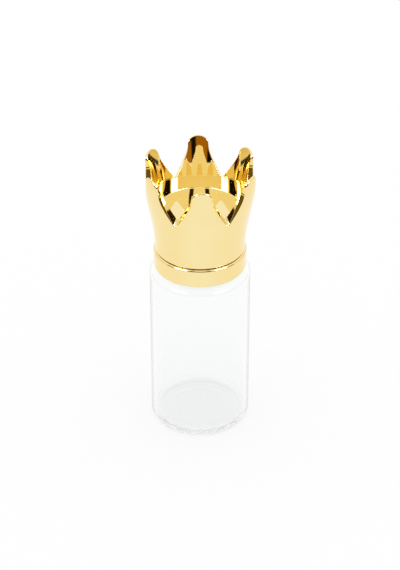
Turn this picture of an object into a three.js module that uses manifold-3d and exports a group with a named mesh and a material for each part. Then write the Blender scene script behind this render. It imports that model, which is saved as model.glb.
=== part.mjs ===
// Glass vial with a crown-shaped screw cap.
// Millimetres, +Z up, origin at the centre of the face that the vial stands on.
// One crown point faces -Y. The cap turns on a right-hand thread.

import * as THREE from "three";
import { mergeVertices } from "three/addons/utils/BufferGeometryUtils.js";
import Module from "manifold-3d";

const wasm = await Module();
wasm.setup();

// Glass body
const bodyDiameter = 30;
const bodyHeight = 53.6; // standing face to the top of the shoulder
const bodyWall = 1.3;
const baseThickness = 2;
const heelRadius = 1.8; // outside corner of the base
const innerHeelRadius = 1.2; // inside corner of the base
const pushUpDiameter = 21; // hollow under the base
const pushUpDepth = 0.5;
const shoulderRadius = 2.6; // outside round from the body into the shoulder
const shoulderThickness = 1.6;
const innerShoulderRadius = 2.4;

// Glass neck, also called the finish
const neckDiameter = 19.8; // at the root of the thread
const neckHeight = 14.4; // shoulder to rim
const neckFillet = 0.9; // shoulder into neck
const mouthDiameter = 15.8;
const mouthFillet = 1; // inside of the shoulder into the mouth
const rimRadius = 0.6;

// Thread, one start
const threadPitch = 3.175; // eight turns to the inch
const threadDepth = 1;
const threadRootWidth = 1.7;
const threadCrestWidth = 0.9;
const threadTurns = 1.75;
const threadDrop = 2.2; // rim to the middle of the first turn
const threadRunOut = 40; // degrees over which each end fades into its wall
const threadRootDepth = 0.25; // how deep the section is rooted in its wall
const threadClearance = 0.35; // crest to the root that faces it

// Threaded insert of the cap
const insertWall = 0.85;
const insertTop = 0.9;
const insertRecess = 0.4; // lower edge of the collar to the lower edge of the insert
const insertThreadDepth = 1;
const insertThreadRootWidth = 1.4;
const insertThreadCrestWidth = 0.7;
const snapBeadHeight = 0.3; // beads that hold the collar and the crown on the insert
const snapBeadWidth = 1.2;

// Sealing liner
const linerThickness = 1.5;
const linerEdgeGap = 0.2; // liner edge to the bore of the insert

// Collar ring
const collarHeight = 5.8;
const collarWall = 1.5;
const collarTopRound = 0.6;
const collarBottomRound = 0.4;

// Crown
const pointCount = 6;
const crownWall = 1.1; // at the lower edge of the crown
const crownFlare = 3.55; // how far the tips stand out past the lower edge
const crownEdgeRound = 0.4;
const floorThickness = 1.8;
const cupDepth = 1.9; // floor of the crown to the bottom of the notches, on the outside
const bandHeight = 2.1; // plain band above the floor
const bandWall = 2.3; // at the floor
const bandLean = 0.22; // how much the band leans out, per millimetre
const floorFillet = 0.35;
const pointHeight = 13.6; // bottom of a notch to a tip, on the outside
const tipWall = 0.5;
const pointLean = 0.2; // how much the inside of a point leans out above the band, per millimetre
const tipHalfWidth = 3;
const tipRise = 2.1; // height of the round end of a point
const tipNeck = 4.4; // tip to the level where the straight flanks would end
const flankBlend = 3.2; // length of flank that bends into the tip

// Gaps between assembled pieces
const skirtGap = 0.7; // collar to shoulder
const seamGap = 0.2; // crown to collar
const seatGap = 0.1; // faces stacked along Z
const fitGap = 0.1; // sleeves on the insert

// Facets
const roundSteps = 48;
const arcSteps = 2;
const flareSteps = 8;
const flankSteps = 5;
const threadStepsPerTurn = 30;
const mergeTolerance = 1e-4;
const overcut = 2; // how far a cutting body runs past what it cuts

// Radii
const bodyR = bodyDiameter / 2;
const cavityR = bodyR - bodyWall;
const neckR = neckDiameter / 2;
const mouthR = mouthDiameter / 2;
const insertBoreR = neckR + threadDepth + threadClearance;
const insertR = insertBoreR + insertWall;
const sleeveBoreR = insertR + fitGap;
const collarR = sleeveBoreR + collarWall;
const crownBaseR = sleeveBoreR + crownWall;
const tipR = crownBaseR + crownFlare;
const linerR = insertBoreR - linerEdgeGap;

// Heights
const rimZ = bodyHeight + neckHeight;
const collarBottomZ = bodyHeight + skirtGap;
const collarTopZ = collarBottomZ + collarHeight;
const crownBottomZ = collarTopZ + seamGap;
const linerBottomZ = rimZ + seatGap;
const linerTopZ = linerBottomZ + linerThickness;
const insertBottomZ = collarBottomZ + insertRecess;
const ceilingZ = linerTopZ + seatGap;
const insertTopZ = ceilingZ + insertTop;
const floorBottomZ = insertTopZ + seatGap;
const floorZ = floorBottomZ + floorThickness;
const bandTopZ = floorZ + bandHeight;
const notchZ = floorZ + cupDepth;
const tipZ = notchZ + pointHeight;
const flareZ = crownBottomZ + crownEdgeRound; // where the outside of the crown starts to bend
const collarBeadZ = (insertBottomZ + collarTopZ) / 2;
const crownBeadZ = (crownBottomZ + floorBottomZ) / 2;

const quarter = Math.PI / 2;

// Materials
const clearGlass = new THREE.MeshStandardMaterial({
  color: 0xf2f6f6,
  roughness: 0.04,
  metalness: 0,
  transparent: true,
  opacity: 0.3,
});
const platedGold = new THREE.MeshStandardMaterial({ color: 0xf8e3aa, roughness: 0.07, metalness: 1 });
const whitePolypropylene = new THREE.MeshStandardMaterial({ color: 0xf1f0ec, roughness: 0.45, metalness: 0 });
const linerFoam = new THREE.MeshStandardMaterial({ color: 0xfafaf7, roughness: 0.8, metalness: 0 });

// A closed geometry as a solid that can be joined and cut.
function solidOf(geometry) {
  const shell = geometry.clone();
  shell.deleteAttribute("normal");
  shell.deleteAttribute("uv");
  const merged = mergeVertices(shell, mergeTolerance);
  const vertProperties = merged.attributes.position.array;
  const triVerts = new Uint32Array(merged.index.array);
  return new wasm.Manifold(new wasm.Mesh({ numProp: 3, vertProperties, triVerts }));
}

// A profile of radius and height, drawn with the solid on its left, turned about Z.
function turned(profile) {
  const lathe = new THREE.LatheGeometry(profile.getPoints(arcSteps), roundSteps);
  lathe.rotateX(quarter);
  return solidOf(lathe);
}

// A finished solid as a named mesh.
function piece(name, solid, material) {
  const { vertProperties, triVerts } = solid.getMesh();
  const geometry = new THREE.BufferGeometry();
  geometry.setAttribute("position", new THREE.BufferAttribute(vertProperties, 3));
  geometry.setIndex(new THREE.BufferAttribute(triVerts, 1));
  geometry.computeVertexNormals();
  const mesh = new THREE.Mesh(geometry, material);
  mesh.name = name;
  return mesh;
}

// Right-hand helix about Z, run from its top end down. A section swept along it stays upright:
// the section's x points away from Z and its y along Z. Each end moves sideways by sink.
class ThreadPath extends THREE.Curve {
  constructor(radius, topZ, turns, sink) {
    super();
    Object.assign(this, { radius, topZ, turns, sink });
  }

  getPoint(t, target = new THREE.Vector3()) {
    const turnedDegrees = 360 * this.turns * Math.min(t, 1 - t);
    const fade = 1 - THREE.MathUtils.smoothstep(turnedDegrees, 0, threadRunOut);
    const radius = this.radius + this.sink * fade;
    const angle = -2 * Math.PI * this.turns * t;
    const height = this.topZ - threadPitch * this.turns * t;
    return target.set(radius * Math.cos(angle), radius * Math.sin(angle), height);
  }

  computeFrenetFrames(steps) {
    const frames = { tangents: [], normals: [], binormals: [] };
    for (let i = 0; i <= steps; i++) {
      const point = this.getPointAt(i / steps);
      const outward = new THREE.Vector3(point.x, point.y, 0).normalize();
      const upward = new THREE.Vector3(0, 0, 1);
      frames.normals.push(outward);
      frames.binormals.push(upward);
      frames.tangents.push(outward.clone().cross(upward));
    }
    return frames;
  }
}

// A thread that stands out from its wall towards side: 1 away from Z, -1 towards Z.
function thread(wallR, topZ, side, depth, rootWidth, crestWidth) {
  const section = new THREE.Shape();
  section.moveTo(-side * threadRootDepth, -rootWidth / 2);
  section.lineTo(0, -rootWidth / 2);
  section.lineTo(side * depth, -crestWidth / 2);
  section.lineTo(side * depth, crestWidth / 2);
  section.lineTo(0, rootWidth / 2);
  section.lineTo(-side * threadRootDepth, rootWidth / 2);
  section.closePath();
  const sink = -side * (depth + threadRootDepth / 2);
  const swept = new THREE.ExtrudeGeometry(section, {
    steps: Math.round(threadStepsPerTurn * threadTurns),
    extrudePath: new ThreadPath(wallR, topZ, threadTurns, sink),
  });
  return solidOf(swept);
}

// Outside of the vial, from the hollow under the base up to the rim, without its cavity.
function vialOutside() {
  const pushUpR = pushUpDiameter / 2;
  const domeR = (pushUpR ** 2 + pushUpDepth ** 2) / (2 * pushUpDepth);
  const domeZ = pushUpDepth - domeR;
  const domeEdge = Math.atan2(-domeZ, pushUpR);
  const profile = new THREE.Path();
  profile.moveTo(0, pushUpDepth);
  profile.absarc(0, domeZ, domeR, quarter, domeEdge, true);
  profile.lineTo(bodyR - heelRadius, 0);
  profile.absarc(bodyR - heelRadius, heelRadius, heelRadius, -quarter, 0, false);
  profile.lineTo(bodyR, bodyHeight - shoulderRadius);
  profile.absarc(bodyR - shoulderRadius, bodyHeight - shoulderRadius, shoulderRadius, 0, quarter, false);
  profile.lineTo(neckR + neckFillet, bodyHeight);
  profile.absarc(neckR + neckFillet, bodyHeight + neckFillet, neckFillet, -quarter, -2 * quarter, true);
  profile.lineTo(neckR, rimZ - rimRadius);
  profile.absarc(neckR - rimRadius, rimZ - rimRadius, rimRadius, 0, quarter, false);
  profile.lineTo(0, rimZ);
  return turned(profile);
}

// Space inside the vial, run on past the rim so that the mouth is open.
function vialCavity() {
  const ceiling = bodyHeight - shoulderThickness;
  const profile = new THREE.Path();
  profile.moveTo(0, baseThickness);
  profile.lineTo(cavityR - innerHeelRadius, baseThickness);
  profile.absarc(cavityR - innerHeelRadius, baseThickness + innerHeelRadius, innerHeelRadius, -quarter, 0, false);
  profile.lineTo(cavityR, ceiling - innerShoulderRadius);
  profile.absarc(
    cavityR - innerShoulderRadius,
    ceiling - innerShoulderRadius,
    innerShoulderRadius,
    0,
    quarter,
    false,
  );
  profile.lineTo(mouthR + mouthFillet, ceiling);
  profile.absarc(mouthR + mouthFillet, ceiling + mouthFillet, mouthFillet, -quarter, -2 * quarter, true);
  profile.lineTo(mouthR, rimZ - rimRadius);
  profile.absarc(mouthR + rimRadius, rimZ - rimRadius, rimRadius, 2 * quarter, quarter, true);
  profile.lineTo(mouthR + rimRadius, rimZ + overcut);
  profile.lineTo(0, rimZ + overcut);
  return turned(profile);
}

function glassVial() {
  const topTurnZ = rimZ - threadDrop;
  const ridge = thread(neckR, topTurnZ, 1, threadDepth, threadRootWidth, threadCrestWidth);
  return vialOutside().add(ridge).subtract(vialCavity());
}

// A round bead on an upright wall of radius wallR, or the groove for it, drawn upwards.
function bead(profile, wallR, middleZ, height, width) {
  profile.lineTo(wallR, middleZ - width / 2);
  profile.quadraticCurveTo(wallR + height, middleZ - width / 2, wallR + height, middleZ);
  profile.quadraticCurveTo(wallR + height, middleZ + width / 2, wallR, middleZ + width / 2);
}

// Outside of the insert, solid through, with its two snap beads.
function insertOutside() {
  const profile = new THREE.Path();
  profile.moveTo(0, insertBottomZ);
  profile.lineTo(insertR, insertBottomZ);
  bead(profile, insertR, collarBeadZ, snapBeadHeight, snapBeadWidth);
  bead(profile, insertR, crownBeadZ, snapBeadHeight, snapBeadWidth);
  profile.lineTo(insertR, insertTopZ);
  profile.lineTo(0, insertTopZ);
  return turned(profile);
}

function insertCavity() {
  const profile = new THREE.Path();
  profile.moveTo(0, insertBottomZ - overcut);
  profile.lineTo(insertBoreR, insertBottomZ - overcut);
  profile.lineTo(insertBoreR, ceilingZ);
  profile.lineTo(0, ceilingZ);
  return turned(profile);
}

// What lies inside the middle of the insert's wall, which keeps the ends of its thread from coming through.
function insertThreadRoom() {
  const middleR = insertBoreR + insertWall / 2;
  const profile = new THREE.Path();
  profile.moveTo(0, insertBottomZ);
  profile.lineTo(middleR, insertBottomZ);
  profile.lineTo(middleR, insertTopZ);
  profile.lineTo(0, insertTopZ);
  return turned(profile);
}

// The insert's thread lies half a pitch below the vial's, in the middle of the space between its turns.
function threadedInsert() {
  const topTurnZ = rimZ - threadDrop - threadPitch / 2;
  const ridge = thread(
    insertBoreR,
    topTurnZ,
    -1,
    insertThreadDepth,
    insertThreadRootWidth,
    insertThreadCrestWidth,
  );
  return insertOutside().subtract(insertCavity()).add(ridge.intersect(insertThreadRoom()));
}

function sealingLiner() {
  const profile = new THREE.Path();
  profile.moveTo(0, linerBottomZ);
  profile.lineTo(linerR, linerBottomZ);
  profile.lineTo(linerR, linerTopZ);
  profile.lineTo(0, linerTopZ);
  return turned(profile);
}

// Bore of a sleeve on the insert, with the groove for one bead, drawn upwards from bottomZ to topZ.
function sleeveBore(bottomZ, beadZ, topZ) {
  const profile = new THREE.Path();
  profile.moveTo(0, bottomZ);
  profile.lineTo(sleeveBoreR, bottomZ);
  bead(profile, sleeveBoreR, beadZ, snapBeadHeight, snapBeadWidth + 2 * fitGap);
  profile.lineTo(sleeveBoreR, topZ);
  profile.lineTo(0, topZ);
  return turned(profile);
}

function collarRing() {
  const profile = new THREE.Path();
  profile.moveTo(0, collarBottomZ);
  profile.lineTo(collarR - collarBottomRound, collarBottomZ);
  profile.absarc(
    collarR - collarBottomRound,
    collarBottomZ + collarBottomRound,
    collarBottomRound,
    -quarter,
    0,
    false,
  );
  profile.lineTo(collarR, collarTopZ - collarTopRound);
  profile.absarc(collarR - collarTopRound, collarTopZ - collarTopRound, collarTopRound, 0, quarter, false);
  profile.lineTo(0, collarTopZ);
  const bore = sleeveBore(collarBottomZ - overcut, collarBeadZ, collarTopZ + overcut);
  return turned(profile).subtract(bore);
}

// Outside of the crown: it rises upright from the lower edge, bends outwards and ends upright at the tips.
const crownOutside = new THREE.CubicBezierCurve(
  new THREE.Vector2(crownBaseR, flareZ),
  new THREE.Vector2(crownBaseR, THREE.MathUtils.lerp(flareZ, tipZ, 1 / 3)),
  new THREE.Vector2(tipR, THREE.MathUtils.lerp(flareZ, tipZ, 2 / 3)),
  new THREE.Vector2(tipR, tipZ),
);

// Outside radius at a height. The curve's four points are evenly spaced in height, so its height is even too.
function crownRadius(z) {
  return crownOutside.getPoint(THREE.MathUtils.clamp((z - flareZ) / (tipZ - flareZ), 0, 1)).x;
}

// The crown before its points are shaped: a sleeve, a floor and a flared cup that is taller than the points.
function crownBlank() {
  const floorR = crownRadius(floorZ) - bandWall;
  const bandTopR = floorR + bandLean * bandHeight;
  const third = (tipZ - bandTopZ) / 3;
  const inside = new THREE.CubicBezierCurve(
    new THREE.Vector2(tipR - tipWall, tipZ),
    new THREE.Vector2(bandTopR + 2 * third * pointLean, bandTopZ + 2 * third),
    new THREE.Vector2(bandTopR + third * pointLean, bandTopZ + third),
    new THREE.Vector2(bandTopR, bandTopZ),
  );
  const profile = new THREE.Path();
  profile.moveTo(0, crownBottomZ);
  profile.lineTo(crownBaseR - crownEdgeRound, crownBottomZ);
  profile.absarc(
    crownBaseR - crownEdgeRound,
    crownBottomZ + crownEdgeRound,
    crownEdgeRound,
    -quarter,
    0,
    false,
  );
  crownOutside.getPoints(flareSteps).forEach((p) => profile.lineTo(p.x, p.y));
  profile.lineTo(tipR, tipZ + overcut);
  profile.lineTo(tipR - tipWall, tipZ + overcut);
  inside.getPoints(flareSteps).forEach((p) => profile.lineTo(p.x, p.y));
  profile.lineTo(floorR + bandLean * floorFillet, floorZ + floorFillet);
  profile.quadraticCurveTo(floorR, floorZ, floorR - floorFillet, floorZ);
  profile.lineTo(0, floorZ);
  return turned(profile);
}

// A point as it is seen along its own radius: x runs across it and y up. The straight flanks bend upright
// below the round tip. Downwards they go on past the bottom of the notches, where neighbours run together.
function pointShape() {
  const valleyX = crownRadius(notchZ) * Math.sin(Math.PI / pointCount);
  const cornerZ = tipZ - tipNeck;
  const lean = Math.atan2(valleyX - tipHalfWidth, cornerZ - notchZ);
  const blendX = tipHalfWidth + flankBlend * Math.sin(lean);
  const blendZ = cornerZ - flankBlend * Math.cos(lean);
  const lowZ = crownBottomZ - overcut;
  const lowX = valleyX + (notchZ - lowZ) * Math.tan(lean);
  const shape = new THREE.Shape();
  shape.moveTo(-lowX, lowZ);
  shape.lineTo(lowX, lowZ);
  shape.lineTo(blendX, blendZ);
  shape.quadraticCurveTo(tipHalfWidth, cornerZ, tipHalfWidth, tipZ - tipRise);
  shape.absellipse(0, tipZ - tipRise, tipHalfWidth, tipRise, 0, Math.PI, false);
  shape.quadraticCurveTo(-tipHalfWidth, cornerZ, -blendX, blendZ);
  shape.closePath();
  return shape;
}

// Each point is cut straight through the wall along its own radius, so a notch is narrower inside than outside.
function crownShell() {
  const point = new THREE.ExtrudeGeometry(pointShape(), {
    depth: tipR + 2 * overcut,
    bevelEnabled: false,
    curveSegments: flankSteps,
  });
  point.rotateX(quarter); // the shape now stands upright and runs out along -Y
  point.translate(0, overcut, 0);
  let points = solidOf(point);
  for (let i = 1; i < pointCount; i++) {
    points = points.add(solidOf(point.clone().rotateZ((i * 2 * Math.PI) / pointCount)));
  }
  const bore = sleeveBore(crownBottomZ - overcut, crownBeadZ, floorBottomZ);
  return crownBlank().subtract(bore).intersect(points);
}

const crownCappedVial = new THREE.Group();
crownCappedVial.add(
  piece("glass_vial", glassVial(), clearGlass),
  piece("sealing_liner", sealingLiner(), linerFoam),
  piece("threaded_insert", threadedInsert(), whitePolypropylene),
  piece("collar_ring", collarRing(), platedGold),
  piece("crown_shell", crownShell(), platedGold),
);

export default crownCappedVial;
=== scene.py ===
import bpy
import math
import numpy as np
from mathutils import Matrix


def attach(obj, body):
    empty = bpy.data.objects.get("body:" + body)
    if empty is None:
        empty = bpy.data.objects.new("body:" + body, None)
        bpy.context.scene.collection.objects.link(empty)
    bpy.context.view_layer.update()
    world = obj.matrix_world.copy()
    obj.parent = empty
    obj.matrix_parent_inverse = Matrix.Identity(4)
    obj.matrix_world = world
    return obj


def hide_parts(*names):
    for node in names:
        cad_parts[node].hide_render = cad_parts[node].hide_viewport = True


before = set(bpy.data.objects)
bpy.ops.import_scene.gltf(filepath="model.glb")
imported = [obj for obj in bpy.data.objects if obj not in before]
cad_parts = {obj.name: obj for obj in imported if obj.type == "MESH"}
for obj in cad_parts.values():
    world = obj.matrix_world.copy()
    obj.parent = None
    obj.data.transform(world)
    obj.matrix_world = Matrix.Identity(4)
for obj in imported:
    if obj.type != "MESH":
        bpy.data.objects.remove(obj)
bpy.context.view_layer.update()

mm = 0.001  # all sizes below are in millimetres, as in the part's own model
hub = 1.0  # radius of the last row of a closed face, which a fan joins to the axis


# small shared tools

# sRGB hex to the linear colour that Blender's sockets take
def linearFromHex(code):
    values = [int(code[i:i + 2], 16) / 255 for i in (1, 3, 5)]
    return [v / 12.92 if v <= 0.04045 else ((v + 0.055) / 1.055) ** 2.4 for v in values] + [1.0]


# one node: props are its settings, ins its inputs by name or number, each a value or a socket
def addNode(tree, kind, ins=None, **props):
    node = tree.nodes.new(kind)
    for key, value in props.items():
        setattr(node, key, value)
    for key, value in (ins or {}).items():
        if isinstance(value, bpy.types.NodeSocket):
            tree.links.new(value, node.inputs[key])
        else:
            node.inputs[key].default_value = value
    return node


def maths(tree, operation, a, b=0.0):
    return addNode(tree, "ShaderNodeMath", {0: a, 1: b}, operation=operation).outputs[0]


# mix of two colours, each a hex value or a socket
def blend(tree, share, under, over):
    under, over = [linearFromHex(c) if isinstance(c, str) else c for c in (under, over)]
    ins = {0: share, 6: under, 7: over}
    return addNode(tree, "ShaderNodeMix", ins, data_type="RGBA").outputs[2]


# goes from first to last while the value goes from low to high
def ramp(tree, value, low, high, first=0.0, last=1.0, kind="LINEAR"):
    ins = {"Value": value, "From Min": low, "From Max": high, "To Min": first, "To Max": last}
    return addNode(tree, "ShaderNodeMapRange", ins, interpolation_type=kind).outputs[0]


# noise with patches of about that many millimetres
def noise(tree, place, size, detail, roughness=0.5):
    ins = {"Vector": place, "Scale": 1 / mm / size, "Detail": detail, "Roughness": roughness}
    return addNode(tree, "ShaderNodeTexNoise", ins).outputs["Fac"]


def bump(tree, height, strength, depth):
    ins = {"Strength": strength, "Distance": depth * mm, "Height": height}
    return addNode(tree, "ShaderNodeBump", ins).outputs[0]


def principled(tree, ins):
    shade = addNode(tree, "ShaderNodeBsdfPrincipled", ins)
    addNode(tree, "ShaderNodeOutputMaterial", {"Surface": shade.outputs[0]})


# an empty material, its nodes and its object coordinates
def newMaterial(name):
    material = bpy.data.materials.new(name)
    material.use_nodes = True
    tree = material.node_tree
    tree.nodes.clear()
    return material, tree, addNode(tree, "ShaderNodeTexCoord").outputs["Object"]


def unit(v):
    return v / np.linalg.norm(v, axis=-1, keepdims=True)


def evenAngles(columns):
    return np.arange(columns) * 2 * np.pi / columns


# point on a turned surface: x = r cos(angle), y = r sin(angle)
def onTurned(angle, z, radius):
    return np.stack([radius * np.cos(angle), radius * np.sin(angle), z], axis=-1)


# profile of radius and height turned about Z
def turnedGrid(profile, columns):
    r = profile[:, 0, None] * np.ones(columns)
    z = profile[:, 1, None] * np.ones(columns)
    return onTurned(evenAngles(columns), z, r)


# round of a corner whose two sides leave it along the unit vectors a and b: the circle of that
# radius that touches both, as points from a's side to b's. Also gives how far from the corner
# the circle touches
def roundCorner(corner, a, b, radius, steps):
    half = np.arccos(np.clip((a * b).sum(axis=-1, keepdims=True), -1, 1)) / 2
    reach = radius / np.tan(half)
    middle = corner + unit(a + b) * radius / np.sin(half)
    first, last = corner + a * reach - middle, corner + b * reach - middle
    sweep = np.pi - 2 * half
    t = np.linspace(0, 1, steps + 1).reshape([-1] + [1] * np.ndim(corner))
    arc = (np.sin((1 - t) * sweep) * first + np.sin(t * sweep) * last) / np.sin(sweep)
    return middle + arc, reach


# polyline whose corners are rounded: each corner is (r, z, radius), and the ends keep their place.
# A spare point just outside each round keeps smooth shading flat on the straight stretches
def roundedProfile(corners, steps=6, spare=0.06):
    p = np.array([c[:2] for c in corners], float)
    rows = [p[0]]
    for i in range(1, len(p) - 1):
        a, b = unit(p[i - 1] - p[i]), unit(p[i + 1] - p[i])
        arc, reach = roundCorner(p[i], a, b, corners[i][2], steps)
        rows += [p[i] + a * (reach + spare), *arc, p[i] + b * (reach + spare)]
    return np.array(rows + [p[-1]])


# a grid of points in mm (rows, columns, xyz) as a closed smooth mesh. Columns run round Z, and
# rows keep the solid on their left. startZ and endZ close the first and last row with a fan to
# that height on the axis, and without them the last row joins the first
def gridPiece(name, grid, material, startZ=None, endZ=None):
    rows, columns = grid.shape[:2]
    index = np.arange(rows * columns).reshape(rows, columns)
    fans = [z for z in (startZ, endZ) if z is not None]
    verts = np.vstack([grid.reshape(-1, 3)] + [[[0, 0, z]] for z in fans]) * mm
    low, high = (index[:-1], index[1:]) if fans else (index, np.roll(index, -1, axis=0))
    sides = [low, np.roll(low, -1, axis=1), np.roll(high, -1, axis=1), high]
    quads = np.stack(sides, axis=-1).reshape(-1, 4)
    tris = np.zeros((0, 3), int)
    if fans:
        bottom, top = index[0], index[-1]
        tip = np.full(columns, rows * columns)
        tris = np.vstack([
            np.stack([tip, np.roll(bottom, -1), bottom], axis=-1),
            np.stack([tip + 1, top, np.roll(top, -1)], axis=-1),
        ])
    loops = np.concatenate([quads.ravel(), tris.ravel()])
    starts = np.concatenate([np.arange(len(quads)) * 4, len(quads) * 4 + np.arange(len(tris)) * 3])
    mesh = bpy.data.meshes.new(name)
    mesh.vertices.add(len(verts))
    mesh.vertices.foreach_set("co", verts.ravel())
    mesh.loops.add(len(loops))
    mesh.loops.foreach_set("vertex_index", loops.astype(np.int32))
    mesh.polygons.add(len(starts))
    mesh.polygons.foreach_set("loop_start", starts.astype(np.int32))
    mesh.polygons.foreach_set("use_smooth", np.ones(len(starts), bool))
    mesh.update(calc_edges=True)
    mesh.validate()
    mesh.materials.append(material)
    piece = bpy.data.objects.new(name, mesh)
    bpy.context.scene.collection.objects.link(piece)
    return piece


# screw ridge as a height field: across its width the ridge is a trapezium with soft edges, its
# middle climbs one pitch per turn, and it fades in and out over the run-out, in degrees. Gives
# 0 to 1 for each angle and height
def screwRidge(angle, z, s):
    climb = (s["topZ"] - z) / s["pitch"]
    turnsDown = -angle / (2 * np.pi) % 1
    lap = np.clip(np.round(climb - turnsDown), 0, None)
    along = lap + turnsDown
    off = np.abs(climb - along) * s["pitch"]
    flank = (s["rootWidth"] - s["crestWidth"]) / 2
    ridge = np.clip((s["rootWidth"] / 2 - off) / flank, 0, 1)
    fade = np.clip(np.minimum(along, s["turns"] - along) * 360 / s["runOut"], 0, 1)
    return ridge * ridge * (3 - 2 * ridge) * fade * fade * (3 - 2 * fade)


# adds a thread to some rows of a turned grid: outwards, or towards the axis if its depth is below 0
def addThread(grid, rows, s):
    angle = evenAngles(grid.shape[1])
    ridge = screwRidge(angle, grid[rows, :, 2], s) * s["depth"]
    grid[rows, :, 0] += ridge * np.cos(angle)
    grid[rows, :, 1] += ridge * np.sin(angle)


# materials

# clear soda-lime glass, drawn as tube and fire polished: bright and nearly colourless, with the
# faint lengthwise drawing waves of tube glass, and a painted shade along its outline: the base
# colour turns dark grey where the outer skin is seen edge on
glassLook = {
    "tint": "#fdfefe", "edge": "#0c0e0e", "edgeFrom": 0.7, "facing": 0.5, "ior": 1.5,
    "bodySkin": 14.3, "neckSkin": 9.5, "neckFrom": 53.0,  # where the outside of the glass begins
    "waveLength": 9.0, "waveStretch": 0.15, "waveDetail": 1.0, "waveRough": 0.4,
    "wave": 0.05, "waveDepth": 0.1,
}


def clearGlass(g):
    material, tree, place = newMaterial("clearGlass")
    alongTube = addNode(tree, "ShaderNodeMapping", {0: place, "Scale": (1, 1, g["waveStretch"])})
    waves = noise(tree, alongTube.outputs[0], g["waveLength"], g["waveDetail"], g["waveRough"])
    facing = addNode(tree, "ShaderNodeLayerWeight", {"Blend": g["facing"]}).outputs["Facing"]
    flat = addNode(tree, "ShaderNodeMapping", {0: place, "Scale": (1, 1, 0)}).outputs[0]
    radius = addNode(tree, "ShaderNodeVectorMath", {0: flat}, operation="LENGTH").outputs["Value"]
    height = addNode(tree, "ShaderNodeSeparateXYZ", {0: place}).outputs["Z"]
    onBody = maths(tree, "GREATER_THAN", radius, g["bodySkin"] * mm)
    onNeck = maths(tree, "MULTIPLY", maths(tree, "GREATER_THAN", height, g["neckFrom"] * mm),
                   maths(tree, "GREATER_THAN", radius, g["neckSkin"] * mm))
    skin = maths(tree, "MAXIMUM", onBody, onNeck)
    # painted shade: the base colour blends towards the dark edge colour where the glass skin is seen
    # edge on
    paintedOutline = maths(tree, "MULTIPLY", ramp(tree, facing, g["edgeFrom"], 1.0), skin)
    principled(tree, {
        "Base Color": blend(tree, paintedOutline, g["tint"], g["edge"]), "Roughness": 0.0, "IOR": g["ior"],
        "Transmission Weight": 1.0, "Normal": bump(tree, waves, g["wave"], g["waveDepth"])})
    return material


# pale gold metal plated on moulded ABS: a mirror with the slow waves of the moulding under it,
# slightly deeper in colour and duller in patches
goldLook = {
    "gold": "#f9e8b0", "deep": "#f7e2a4", "patch": 7.0, "patchDetail": 3.0, "patchRough": 0.55,
    "dullFrom": 0.3, "dullTo": 0.7, "roughLow": 0.015, "roughHigh": 0.045,
    "waveLength": 5.0, "wave": 0.08, "waveDepth": 0.05,
}


def platedGold(g):
    material, tree, place = newMaterial("platedGold")
    patches = noise(tree, place, g["patch"], g["patchDetail"], g["patchRough"])
    waves = noise(tree, place, g["waveLength"], 0.0)
    principled(tree, {
        "Base Color": blend(tree, patches, g["gold"], g["deep"]), "Metallic": 1.0,
        "Roughness": ramp(tree, patches, g["dullFrom"], g["dullTo"], g["roughLow"], g["roughHigh"]),
        "Normal": bump(tree, waves, g["wave"], g["waveDepth"])})
    return material


# natural white polypropylene, moulded: milky, half matt, with the fine spark grain of the mould
insertLook = {
    "white": "#f1f0ec", "shade": "#e9e8e2", "cloud": 4.0, "grain": 0.5, "detail": 2.0,
    "roughLow": 0.36, "roughHigh": 0.54, "grainBump": 0.25, "grainDepth": 0.02, "ior": 1.49,
    "milk": 0.15, "milkReach": (0.8, 0.8, 0.7),
}


def mouldedPolypropylene(p):
    material, tree, place = newMaterial("mouldedPolypropylene")
    cloud = noise(tree, place, p["cloud"], p["detail"])
    grain = noise(tree, place, p["grain"], p["detail"])
    principled(tree, {
        "Base Color": blend(tree, cloud, p["white"], p["shade"]), "IOR": p["ior"],
        "Roughness": ramp(tree, grain, 0.0, 1.0, p["roughLow"], p["roughHigh"]),
        "Subsurface Weight": p["milk"], "Subsurface Scale": 1.0,
        "Subsurface Radius": [reach * mm for reach in p["milkReach"]],
        "Normal": bump(tree, grain, p["grainBump"], p["grainDepth"])})
    return material


# expanded polyethylene liner: soft white foam with closed cells about a third of a millimetre across
foamLook = {
    "white": "#fafaf7", "cellWall": "#eceae4", "cell": 0.35, "cellBump": 0.4, "cellDepth": 0.05,
    "rough": 0.8, "ior": 1.5,
}


def linerFoam(f):
    material, tree, place = newMaterial("linerFoam")
    ins = {"Vector": place, "Scale": 1 / mm / f["cell"]}
    cells = addNode(tree, "ShaderNodeTexVoronoi", ins).outputs["Distance"]
    principled(tree, {
        "Base Color": blend(tree, cells, f["white"], f["cellWall"]), "Roughness": f["rough"],
        "IOR": f["ior"], "Normal": bump(tree, cells, f["cellBump"], f["cellDepth"])})
    return material


goldFinish = platedGold(goldLook)
print("materials made")


# glass vial: body, shoulder and threaded neck outside, cavity inside, all one turned profile

vial = {
    "radius": 15.0, "wall": 1.3, "base": 2.0, "heel": 1.8, "innerHeel": 1.2,
    # hollow under the base, with a low step at its edge
    "pushUpRadius": 10.5, "pushUp": 0.5, "domeRows": 14,
    "stepIn": 0.6, "stepZ": 0.12, "stepOut": 0.4, "stepRound": 0.8,
    "shoulderZ": 53.6, "shoulderRound": 2.6, "shoulderThick": 1.6, "innerShoulder": 2.4,
    "neckRadius": 9.9, "neckFillet": 0.9, "mouthRadius": 7.9, "mouthFillet": 1.0,
    "rimZ": 68.0, "rimRound": 0.6,
    # close rows for the thread, from above the shoulder to below the round of the rim
    "neckLow": 2.0, "rowsLow": 2.1, "neckHigh": 0.08, "rowsHigh": 0.1, "row": 0.11,
    "columns": 192, "steps": 10,
    "thread": {"topZ": 65.8, "pitch": 3.175, "depth": 1.0, "rootWidth": 1.8, "crestWidth": 0.7,
               "turns": 1.75, "runOut": 40},
}


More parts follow.
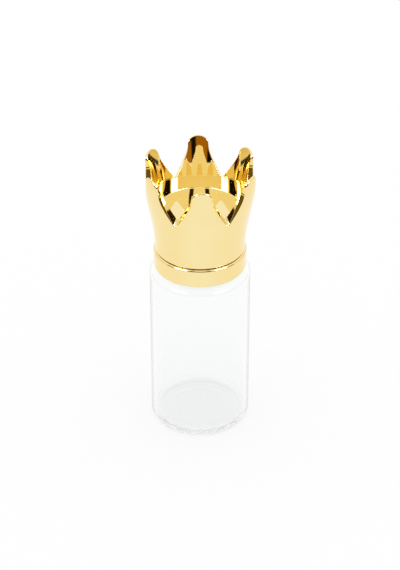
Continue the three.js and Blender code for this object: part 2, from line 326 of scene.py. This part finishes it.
# the hollow under the base is a sphere's cap: z = pushUp at the axis, 0 at its edge
def glassVial(v):
    domeRadius = (v["pushUpRadius"] ** 2 + v["pushUp"] ** 2) / (2 * v["pushUp"])
    r = np.linspace(0, v["pushUpRadius"], v["domeRows"])[1:-1]
    dome = np.stack([r, v["pushUp"] - domeRadius + np.sqrt(domeRadius ** 2 - r ** 2)], axis=-1)
    outside = roundedProfile([
        (v["pushUpRadius"] - v["stepIn"], v["stepZ"], 0),
        (v["pushUpRadius"] + v["stepOut"], 0.0, v["stepRound"]),
        (v["radius"], 0.0, v["heel"]),
        (v["radius"], v["shoulderZ"], v["shoulderRound"]),
        (v["neckRadius"], v["shoulderZ"], v["neckFillet"]),
        (v["neckRadius"], v["shoulderZ"] + v["neckLow"], 0)], v["steps"])
    roundZ = v["rimZ"] - v["rimRound"]
    neckZ = np.arange(v["shoulderZ"] + v["rowsLow"], roundZ - v["rowsHigh"], v["row"])
    neck = np.stack([np.full_like(neckZ, v["neckRadius"]), neckZ], axis=-1)
    cavity = v["radius"] - v["wall"]
    ceiling = v["shoulderZ"] - v["shoulderThick"]
    inside = roundedProfile([
        (v["neckRadius"], roundZ - v["neckHigh"], 0),
        (v["neckRadius"], v["rimZ"], v["rimRound"]),
        (v["mouthRadius"], v["rimZ"], v["rimRound"]),
        (v["mouthRadius"], ceiling, v["mouthFillet"]),
        (cavity, ceiling, v["innerShoulder"]),
        (cavity, v["base"], v["innerHeel"]),
        (hub, v["base"], 0)], v["steps"])
    grid = turnedGrid(np.vstack([dome, outside, neck, inside]), v["columns"])
    first = len(dome) + len(outside)
    addThread(grid, slice(first, first + len(neck)), v["thread"])
    return gridPiece("glassBottle", grid, clearGlass(glassLook), startZ=v["pushUp"], endZ=v["base"])


glass = glassVial(vial)
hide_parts("glass_vial")
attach(glass, "vial")
print("glass vial made", len(glass.data.polygons), "faces")


# crown: sleeve, floor and six points in one grid of rows that climb the outside, cross the rounded
# rim and go down inside

crown = {
    "points": 6, "sleeveBore": 12.2, "boreRound": 0.2, "lipRound": 0.15, "spare": 0.03,
    "baseRadius": 13.3, "flare": 3.55, "bottomZ": 60.3, "edgeRound": 0.4, "edgeTop": 0.5,
    "floorBottomZ": 70.7, "floorZ": 72.5, "floorFillet": 0.35, "floorRadius": 12.42,
    "bandTopZ": 74.6, "bandLean": 0.22, "pointLean": 0.2, "creaseSoft": 0.2,
    "notchZ": 74.4, "notchRound": 0.6, "notchSteps": 24, "leanSpan": 9,
    "tipZ": 88.0, "tipWall": 0.5, "tipHalfWidth": 3.0, "tipRise": 2.1, "tipNeck": 4.4,
    "flankBlend": 3.2, "flankSteps": 200, "tipSteps": 100,
    # rounds of the rim: largest radius, and largest share of the wall
    "outerRound": 0.45, "outerShare": 0.5, "outerSteps": 6,
    "innerRound": 0.15, "innerShare": 0.25, "innerSteps": 8, "cutInset": 0.04,
    # columns of half a point, closer at the notch, and rows of the two faces below the rim
    "halfColumns": 52, "spacing": 1.4, "easing": 6, "slopeStep": 0.01,
    "outsideRows": 44, "outsideLift": 0.05, "insideRows": 30, "insideDrop": 0.5,
    "floorDrop": 0.6, "floorSteps": 8,
}


# outside radius: base plus flare times the smooth step 3t2 - 2t3 of the height
def crownOutside(z, c):
    low = c["bottomZ"] + c["edgeRound"]
    t = np.clip((z - low) / (c["tipZ"] - low), 0, 1)
    return c["baseRadius"] + c["flare"] * (3 * t ** 2 - 2 * t ** 3)


# inside radius: a band that leans out from the floor, then a curve that leaves it with the lean of
# the points: floor radius + band lean times height + the change of lean times rise + the rest
# times (rise / full rise) cubed, where rise is the height above the band. The crease between the
# two is softened
def crownInside(z, c):
    full = c["tipZ"] - c["bandTopZ"]
    rise = z - c["bandTopZ"]
    rise = np.minimum((rise + np.sqrt(rise ** 2 + c["creaseSoft"] ** 2)) / 2, full)
    bend = c["pointLean"] - c["bandLean"]
    band = c["floorRadius"] + c["bandLean"] * (np.minimum(z, c["tipZ"]) - c["floorZ"])
    rest = (c["baseRadius"] + c["flare"] - c["tipWall"] - c["floorRadius"]
            - c["bandLean"] * (c["tipZ"] - c["floorZ"]) - bend * full)
    return band + bend * rise + rest * (rise / full) ** 3


# half a point as it is seen along its own radius, from the notch beside it to its tip: straight
# leaning flank, a bend into the upright side (quadratic curve) and a quarter ellipse over the tip
def pointHalf(c):
    notchX = crownOutside(c["notchZ"], c) * math.sin(math.pi / c["points"])
    valley = np.array([notchX, c["notchZ"]])
    corner = np.array([c["tipHalfWidth"], c["tipZ"] - c["tipNeck"]])
    bendStart = corner - unit(corner - valley) * c["flankBlend"]
    bendEnd = np.array([c["tipHalfWidth"], c["tipZ"] - c["tipRise"]])
    straight = valley + (bendStart - valley) * np.linspace(0, 1, c["flankSteps"])[:, None]
    t = np.linspace(0, 1, c["tipSteps"])[1:, None]
    bend = (1 - t) ** 2 * bendStart + 2 * t * (1 - t) * corner + t ** 2 * bendEnd
    a = np.linspace(0, math.pi / 2, c["tipSteps"])[1:]
    tipX, tipZ = c["tipHalfWidth"] * np.cos(a), bendEnd[1] + c["tipRise"] * np.sin(a)
    return np.vstack([straight, bend, np.stack([tipX, tipZ], axis=-1)])


# edge of the rim on a turned surface, all round. A point is cut straight through the wall along
# its own radius, so from the middle of the notch angle = half a turn of a point - arcsin(x /
# radius). The bottom of the notch is a circle that touches both flanks, and the half line, spaced
# more closely there, is mirrored about the tip
def rimLine(radius, c):
    half = math.pi / c["points"]
    x, z = pointHalf(c).T
    angle = half - np.arcsin(np.clip(x / radius(z, c), -1, 1))
    low = np.searchsorted(angle, 0) + 1
    high = low + c["leanSpan"]
    lean = math.atan((angle[high] - angle[low]) * radius(z[low], c) / (z[high] - z[low]))
    middle = np.interp(0, angle, z) + c["notchRound"] / math.sin(lean)
    above = z > middle - c["notchRound"] * math.sin(lean)
    a = np.linspace(-math.pi / 2, -lean, c["notchSteps"])[:-1]
    roundZ = middle + c["notchRound"] * np.sin(a)
    angle = np.concatenate([c["notchRound"] * np.cos(a) / radius(roundZ, c), angle[above]])
    z = np.concatenate([roundZ, z[above]])
    step = np.linalg.norm(np.diff(onTurned(angle, z, radius(z, c)), axis=0), axis=1)
    length = np.concatenate([[0], np.cumsum(step)])
    place = length[-1] * np.linspace(0, 1, c["halfColumns"]) ** c["spacing"]
    angle, z = np.interp(place, length, angle), np.interp(place, length, z)
    angle = np.concatenate([angle, 2 * half - angle[-2:0:-1]])
    z = np.concatenate([z, z[-2:0:-1]])
    starts = np.arange(c["points"])[:, None] * 2 * half
    return (starts + angle).ravel(), np.tile(z, c["points"])


# points of a rim line, and at each the direction in the turned surface that leads down from the
# rim, square to it
def rimDown(angle, z, radius, c):
    point = onTurned(angle, z, radius(z, c))
    along = unit(np.roll(point, -1, axis=0) - np.roll(point, 1, axis=0))
    step = c["slopeStep"]
    slope = (radius(z + step, c) - radius(z - step, c)) / (2 * step)
    square = unit(np.stack([np.cos(angle), np.sin(angle), -slope], axis=-1))
    return point, unit(np.cross(along, square))


def crownShell(c):
    outLine, inLine = rimLine(crownOutside, c), rimLine(crownInside, c)
    columns = len(outLine[0])
    even = evenAngles(columns)
    outPoint, outDown = rimDown(*outLine, crownOutside, c)
    inPoint, inDown = rimDown(*inLine, crownInside, c)
    across = unit(inPoint - outPoint)  # over the cut face, from its outer to its inner edge
    wall = np.linalg.norm(inPoint - outPoint, axis=-1, keepdims=True)
    outerRound = np.minimum(c["outerRound"], c["outerShare"] * wall)  # smaller where the wall is thin
    innerRound = np.minimum(c["innerRound"], c["innerShare"] * wall)
    outRound, _ = roundCorner(outPoint, outDown, across, outerRound, c["outerSteps"])
    inRound, _ = roundCorner(inPoint, -across, inDown, innerRound, c["innerSteps"])
    inset = c["cutInset"] * across
    cutFace = np.stack([outRound[-1] + inset, inRound[0] - inset])

    # below the rim each face is its turned surface, columns easing from even spacing to the rim's
    def face(end, lowZ, radius, count):
        endAngle = np.arctan2(end[:, 1], end[:, 0])
        endAngle = even + (endAngle - even + math.pi) % (2 * math.pi) - math.pi
        v = np.linspace(0, 1, count + 1)[:-1, None]
        angle = even + (endAngle - even) * v ** c["easing"]
        z = lowZ + (end[:, 2] - lowZ) * v
        return onTurned(angle, z, radius(z, c))

    outsideZ = c["bottomZ"] + c["edgeRound"] + c["outsideLift"]
    outside = face(outRound[0], outsideZ, crownOutside, c["outsideRows"])
    insideZ = c["bandTopZ"] - c["insideDrop"]
    inside = face(inRound[-1], insideZ, crownInside, c["insideRows"])[::-1]
    under = roundedProfile([
        (hub, c["floorBottomZ"], 0),
        (c["sleeveBore"], c["floorBottomZ"], c["boreRound"]),
        (c["sleeveBore"], c["bottomZ"], c["lipRound"]),
        (c["baseRadius"], c["bottomZ"], c["edgeRound"]),
        (c["baseRadius"], c["bottomZ"] + c["edgeTop"], 0)], spare=c["spare"])
    under = under[:-2]  # the outside goes on from the end of the last round
    bandZ = c["bandTopZ"] - c["floorDrop"]
    floor = roundedProfile([
        (crownInside(bandZ, c), bandZ, 0),
        (c["floorRadius"], c["floorZ"], c["floorFillet"]),
        (hub, c["floorZ"], 0)], c["floorSteps"])
    grid = np.concatenate([
        turnedGrid(under, columns), outside, outRound, cutFace, inRound, inside,
        turnedGrid(floor, columns)])
    return gridPiece("crownCup", grid, goldFinish, startZ=c["floorBottomZ"], endZ=c["floorZ"])


crownCup = crownShell(crown)
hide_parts("crown_shell")
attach(crownCup, "cap")
print("crown made", len(crownCup.data.polygons), "faces")


# collar ring under the crown

collar = {
    "bore": 12.2, "radius": 13.7, "bottomZ": 54.3, "topZ": 60.1, "topRound": 0.6,
    "bottomRound": 0.4, "boreLow": 0.2, "boreHigh": 0.15, "seam": 0.5, "columns": 256, "steps": 8,
}


# a square ring with rounded corners, turned: the profile closes on itself inside the bore
def collarRing(c):
    middleZ = (c["bottomZ"] + c["topZ"]) / 2
    profile = roundedProfile([
        (c["bore"], middleZ, 0),
        (c["bore"], c["bottomZ"], c["boreLow"]),
        (c["radius"], c["bottomZ"], c["bottomRound"]),
        (c["radius"], c["topZ"], c["topRound"]),
        (c["bore"], c["topZ"], c["boreHigh"]),
        (c["bore"], middleZ + c["seam"], 0)], c["steps"])
    return gridPiece("collarBand", turnedGrid(profile, c["columns"]), goldFinish)


collarBand = collarRing(collar)
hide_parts("collar_ring")
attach(collarBand, "cap")
print("collar made", len(collarBand.data.polygons), "faces")


# threaded insert inside the plated pieces

insert = {
    "radius": 12.1, "bore": 11.25, "bottomZ": 54.7, "ceilingZ": 69.7, "topZ": 70.6,
    "footRound": 0.25, "footTop": 0.35, "footSpare": 0.02, "topRound": 0.2, "topLow": 0.3,
    "ceilingRound": 0.3, "ceilingLow": 0.45, "spare": 0.03,
    "beadHeight": 0.3, "beadWidth": 1.2, "beadZ": (57.4, 65.5),
    # close rows on the outside and in the bore, between the rounds at their ends
    "row": 0.1, "rowsLow": 0.4, "outsideHigh": 0.35, "boreHigh": 0.5, "columns": 192,
    "thread": {"topZ": 64.2125, "pitch": 3.175, "depth": -1.0, "rootWidth": 1.5, "crestWidth": 0.55,
               "turns": 1.75, "runOut": 40},
}


# a cup, open below: outside with two round snap beads (half a cosine high), bore with a screw ridge
# towards the axis
def threadedInsert(n):
    lowZ = n["bottomZ"] + n["rowsLow"]
    outZ = np.arange(lowZ, n["topZ"] - n["outsideHigh"], n["row"])
    off = np.abs(outZ[:, None] - np.array(n["beadZ"])).min(axis=1)
    bead = n["beadHeight"] * np.cos(np.clip(off / n["beadWidth"], 0, 0.5) * math.pi)
    outside = np.stack([n["radius"] + bead, outZ], axis=-1)
    boreZ = np.arange(lowZ, n["ceilingZ"] - n["boreHigh"], n["row"])[::-1]
    bore = np.stack([np.full_like(boreZ, n["bore"]), boreZ], axis=-1)
    footZ = n["bottomZ"] + n["footTop"]
    foot = roundedProfile([
        (n["bore"], footZ, 0),
        (n["bore"], n["bottomZ"], n["footRound"]),
        (n["radius"], n["bottomZ"], n["footRound"]),
        (n["radius"], footZ, 0)], spare=n["footSpare"])
    top = roundedProfile([
        (n["radius"], n["topZ"] - n["topLow"], 0),
        (n["radius"], n["topZ"], n["topRound"]),
        (hub, n["topZ"], 0)], spare=n["spare"])
    ceiling = roundedProfile([
        (hub, n["ceilingZ"], 0),
        (n["bore"], n["ceilingZ"], n["ceilingRound"]),
        (n["bore"], n["ceilingZ"] - n["ceilingLow"], 0)], spare=n["spare"])
    grid = turnedGrid(np.vstack([ceiling, bore, foot, outside, top]), n["columns"])
    addThread(grid, slice(len(ceiling), len(ceiling) + len(bore)), n["thread"])
    material = mouldedPolypropylene(insertLook)
    return gridPiece("screwInsert", grid, material, startZ=n["ceilingZ"], endZ=n["topZ"])


screwInsert = threadedInsert(insert)
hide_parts("threaded_insert")
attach(screwInsert, "cap")
print("insert made", len(screwInsert.data.polygons), "faces")


# sealing liner between the insert and the glass rim

liner = {
    "radius": 11.05, "bottomZ": 68.1, "topZ": 69.6, "edgeRound": 0.3, "edgeFrom": 0.45, "spare": 0.03,
    "dent": 0.08, "dentRadius": 8.9, "dentWidth": 2.2, "underInset": 0.5, "underRows": 60,
    "columns": 128,
}


# a disc with rounded edges whose underside is pressed in by the rim: dent times half a cosine
# across the rim
def sealingLiner(n):
    r = np.linspace(n["underInset"], n["radius"] - n["underInset"], n["underRows"])
    across = np.clip(np.abs(r - n["dentRadius"]) / n["dentWidth"], 0, 0.5)
    under = np.stack([r, n["bottomZ"] + n["dent"] * np.cos(across * math.pi)], axis=-1)
    edge = roundedProfile([
        (n["radius"] - n["edgeFrom"], n["bottomZ"], 0),
        (n["radius"], n["bottomZ"], n["edgeRound"]),
        (n["radius"], n["topZ"], n["edgeRound"]),
        (hub, n["topZ"], 0)], spare=n["spare"])
    grid = turnedGrid(np.vstack([under, edge]), n["columns"])
    return gridPiece("linerDisc", grid, linerFoam(foamLook), startZ=n["bottomZ"], endZ=n["topZ"])


linerDisc = sealingLiner(liner)
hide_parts("sealing_liner")
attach(linerDisc, "liner")
print("liner made", len(linerDisc.data.polygons), "faces")


# floor, light and camera

# 1 for what a mirror shows and 0 for the rest. Reflections inside the glass count as the rest
def inMirror(tree, path):
    outsideGlass = maths(tree, "LESS_THAN", path["Transmission Depth"], 0.5)
    return maths(tree, "MULTIPLY", path["Is Glossy Ray"], outsideGlass)


table = {
    "size": 900.0, "drop": 0.05, "white": "#fdfdfd",
    # share of plain white in the look of the table. The rest is lit, and keeps the shadow
    "toCamera": 0.85, "toMirror": 0.95, "inGlass": 0.8,
    # mirrors see the white sheet turn warm towards its ends, then a dark band of painted shadow, and
    # beyond it the bare wood, at these distances from the middle
    "warmFrom": 25.0, "warmTo": 190.0, "warm": "#fff4dc", "paintedShadowFrom": 360.0, "paintedShadow": "#120a01",
    "woodFrom": 500.0, "wood": "#ead08a", "soft": 45.0,
}


# white table: a plain matt sheet, which camera, mirror and glass see close to pure white. To mirrors
# its plain share is a glow, though it is no lamp, with the warm ends, a painted shadow band and the
# wood
def whiteTable(t):
    material, tree, place = newMaterial("whiteTable")
    path = addNode(tree, "ShaderNodeLightPath").outputs
    out = maths(tree, "ABSOLUTE", addNode(tree, "ShaderNodeSeparateXYZ", {0: place}).outputs["X"])
    mirrored = "#ffffff"
    # colours painted into the glow that mirrors see: warm ends, a dark band of painted shadow, then
    # wood
    for first, last, shade in (
            (t["warmFrom"], t["warmTo"], t["warm"]),
            (t["paintedShadowFrom"], t["paintedShadowFrom"] + t["soft"], t["paintedShadow"]),
            (t["woodFrom"], t["woodFrom"] + t["soft"], t["wood"])):
        mirrored = blend(tree, ramp(tree, out, first * mm, last * mm), mirrored, shade)
    onMirror = inMirror(tree, path)
    inGlass = maths(tree, "GREATER_THAN", path["Transmission Depth"], 0.5)
    share = 0.0
    for seen, glow in (
            (path["Is Camera Ray"], t["toCamera"]), (onMirror, t["toMirror"]), (inGlass, t["inGlass"])):
        share = maths(tree, "MAXIMUM", maths(tree, "MULTIPLY", seen, glow), share)
    matt = addNode(tree, "ShaderNodeBsdfDiffuse", {"Color": linearFromHex(t["white"])})
    plain = addNode(tree, "ShaderNodeEmission", {
        "Color": blend(tree, onMirror, "#ffffff", mirrored), "Strength": 1.0})
    both = addNode(tree, "ShaderNodeMixShader", {0: share, 1: matt.outputs[0], 2: plain.outputs[0]})
    addNode(tree, "ShaderNodeOutputMaterial", {"Surface": both.outputs[0]})
    size = t["size"] * mm
    low = -t["drop"] * mm  # a hair below the glass, so that the two faces don't coincide
    corners = [(-size, -size, low), (size, -size, low), (size, size, low), (-size, size, low)]
    mesh = bpy.data.meshes.new("table")
    mesh.from_pydata(corners, [], [(0, 1, 2, 3)])
    mesh.materials.append(material)
    sheet = bpy.data.objects.new("table", mesh)
    bpy.context.scene.collection.objects.link(sheet)


# what mirrors see round the table, in degrees of turn from the front and of elevation: a dim room
# with a shelf and a wall on each side, the dark camera stand, black flags above it, brown wood
# with a pole low down, and two softboxes. Near and far hold on both sides, left and right once,
# and the room's low and near edges lie out of sight
tent = {
    "soft": 2.0,
    "room": {"near": -9.0, "far": 50.0, "low": -95.0, "high": 21.0,
             "dark": "#120a01", "dim": "#5a4415"},
    "stand": {"left": -27.0, "right": 25.0, "low": 15.0, "high": 40.0, "colour": "#171005"},
    "brown": {"left": -17.0, "right": 30.0, "low": -5.0, "high": 15.0, "colour": "#a3660c"},
    "pole": {"left": 6.0, "right": 16.0, "low": -5.0, "high": 15.0, "colour": "#171005"},
    "shelf": {"near": 46.0, "far": 84.0, "low": -10.0, "high": 21.0, "colour": "#68551f"},
    "wall": {"near": 84.0, "far": 128.0, "low": -12.0, "high": 8.0, "colour": "#e6cb86"},
    "flags": {"near": 19.0, "far": 33.0, "low": 49.0, "high": 62.0, "colour": "#2c1f08"},
    "softbox": {"near": 35.0, "far": 68.0, "low": 25.0, "high": 40.0, "strength": 12.0},
}


# white tent round a table, open to a dim room at the front, with two bright softboxes beside the
# camera. Mirrors see all of it. The camera, and what is seen through glass, get the plain white
def lightTent(s):
    world = bpy.data.worlds.new("lightTent")
    bpy.context.scene.world = world
    world.use_nodes = True
    tree = world.node_tree
    tree.nodes.clear()
    direction = addNode(tree, "ShaderNodeTexCoord").outputs["Generated"]
    axis = addNode(tree, "ShaderNodeSeparateXYZ", {0: direction}).outputs
    height = maths(tree, "DEGREES", maths(tree, "ARCSINE", axis["Z"]))
    front = maths(tree, "MULTIPLY", axis["Y"], -1.0)
    side = maths(tree, "DEGREES", maths(tree, "ARCTAN2", axis["X"], front))
    away = maths(tree, "ABSOLUTE", side)

    def within(value, low, high):  # 1 between low and high, 0 outside
        edges = [ramp(tree, value, edge - s["soft"], edge + s["soft"], kind="SMOOTHSTEP")
                 for edge in (low, high)]
        return maths(tree, "SUBTRACT", *edges)

    def patch(p):
        turn = (side, p["left"], p["right"]) if "left" in p else (away, p["near"], p["far"])
        return maths(tree, "MULTIPLY", within(*turn), within(height, p["low"], p["high"]))

    room = s["room"]
    colour = blend(tree, ramp(tree, height, 0.0, room["high"]), room["dark"], room["dim"])
    colour = blend(tree, patch(room), "#ffffff", colour)
    for name in ("stand", "brown", "pole", "shelf", "wall", "flags"):
        colour = blend(tree, patch(s[name]), colour, s[name]["colour"])
    lamp = maths(tree, "MULTIPLY", patch(s["softbox"]), s["softbox"]["strength"] - 1)
    level = maths(tree, "ADD", 1.0, lamp)
    mirrored = addNode(tree, "ShaderNodeBackground", {"Color": colour, "Strength": level})
    plain = addNode(tree, "ShaderNodeBackground", {"Color": linearFromHex("#ffffff"), "Strength": 1.0})
    onMirror = inMirror(tree, addNode(tree, "ShaderNodeLightPath").outputs)
    seen = addNode(tree, "ShaderNodeMixShader", {
        0: onMirror, 1: plain.outputs[0], 2: mirrored.outputs[0]})
    addNode(tree, "ShaderNodeOutputWorld", {"Surface": seen.outputs[0]})


# focal length in pixels of the picture's longer side, sensor in its own millimetres, clip in metres
lens = {
    "focal": 1885.0, "pixels": 570, "sensor": 36.0, "clipStart": 0.01, "clipEnd": 20.0,
    "distance": 563.2, "elevation": 34.07, "turn": -2.0, "lookZ": 46.06,
}


# the camera looks at a point on the vial's axis from a distance, elevation and turn about Z
def photoCamera(c):
    data = bpy.data.cameras.new("camera")
    data.sensor_fit = "AUTO"
    data.sensor_width = c["sensor"]
    data.lens = c["focal"] * c["sensor"] / c["pixels"]
    data.clip_start, data.clip_end = c["clipStart"], c["clipEnd"]
    up, turn = math.radians(c["elevation"]), math.radians(c["turn"])
    reach = c["distance"] * mm
    level = reach * math.cos(up)
    camera = bpy.data.objects.new("camera", data)
    camera.location = (
        level * math.sin(turn), -level * math.cos(turn), c["lookZ"] * mm + reach * math.sin(up))
    camera.rotation_euler = (math.pi / 2 - up, 0, turn)
    bpy.context.scene.collection.objects.link(camera)
    bpy.context.scene.camera = camera


whiteTable(table)
lightTent(tent)
photoCamera(lens)

bounces = 400  # light goes round many times inside the crown and along the glass wall
scene = bpy.context.scene
scene.view_settings.view_transform = "Standard"
scene.cycles.max_bounces = bounces
scene.cycles.glossy_bounces = bounces
scene.cycles.transmission_bounces = bounces
print("studio made")
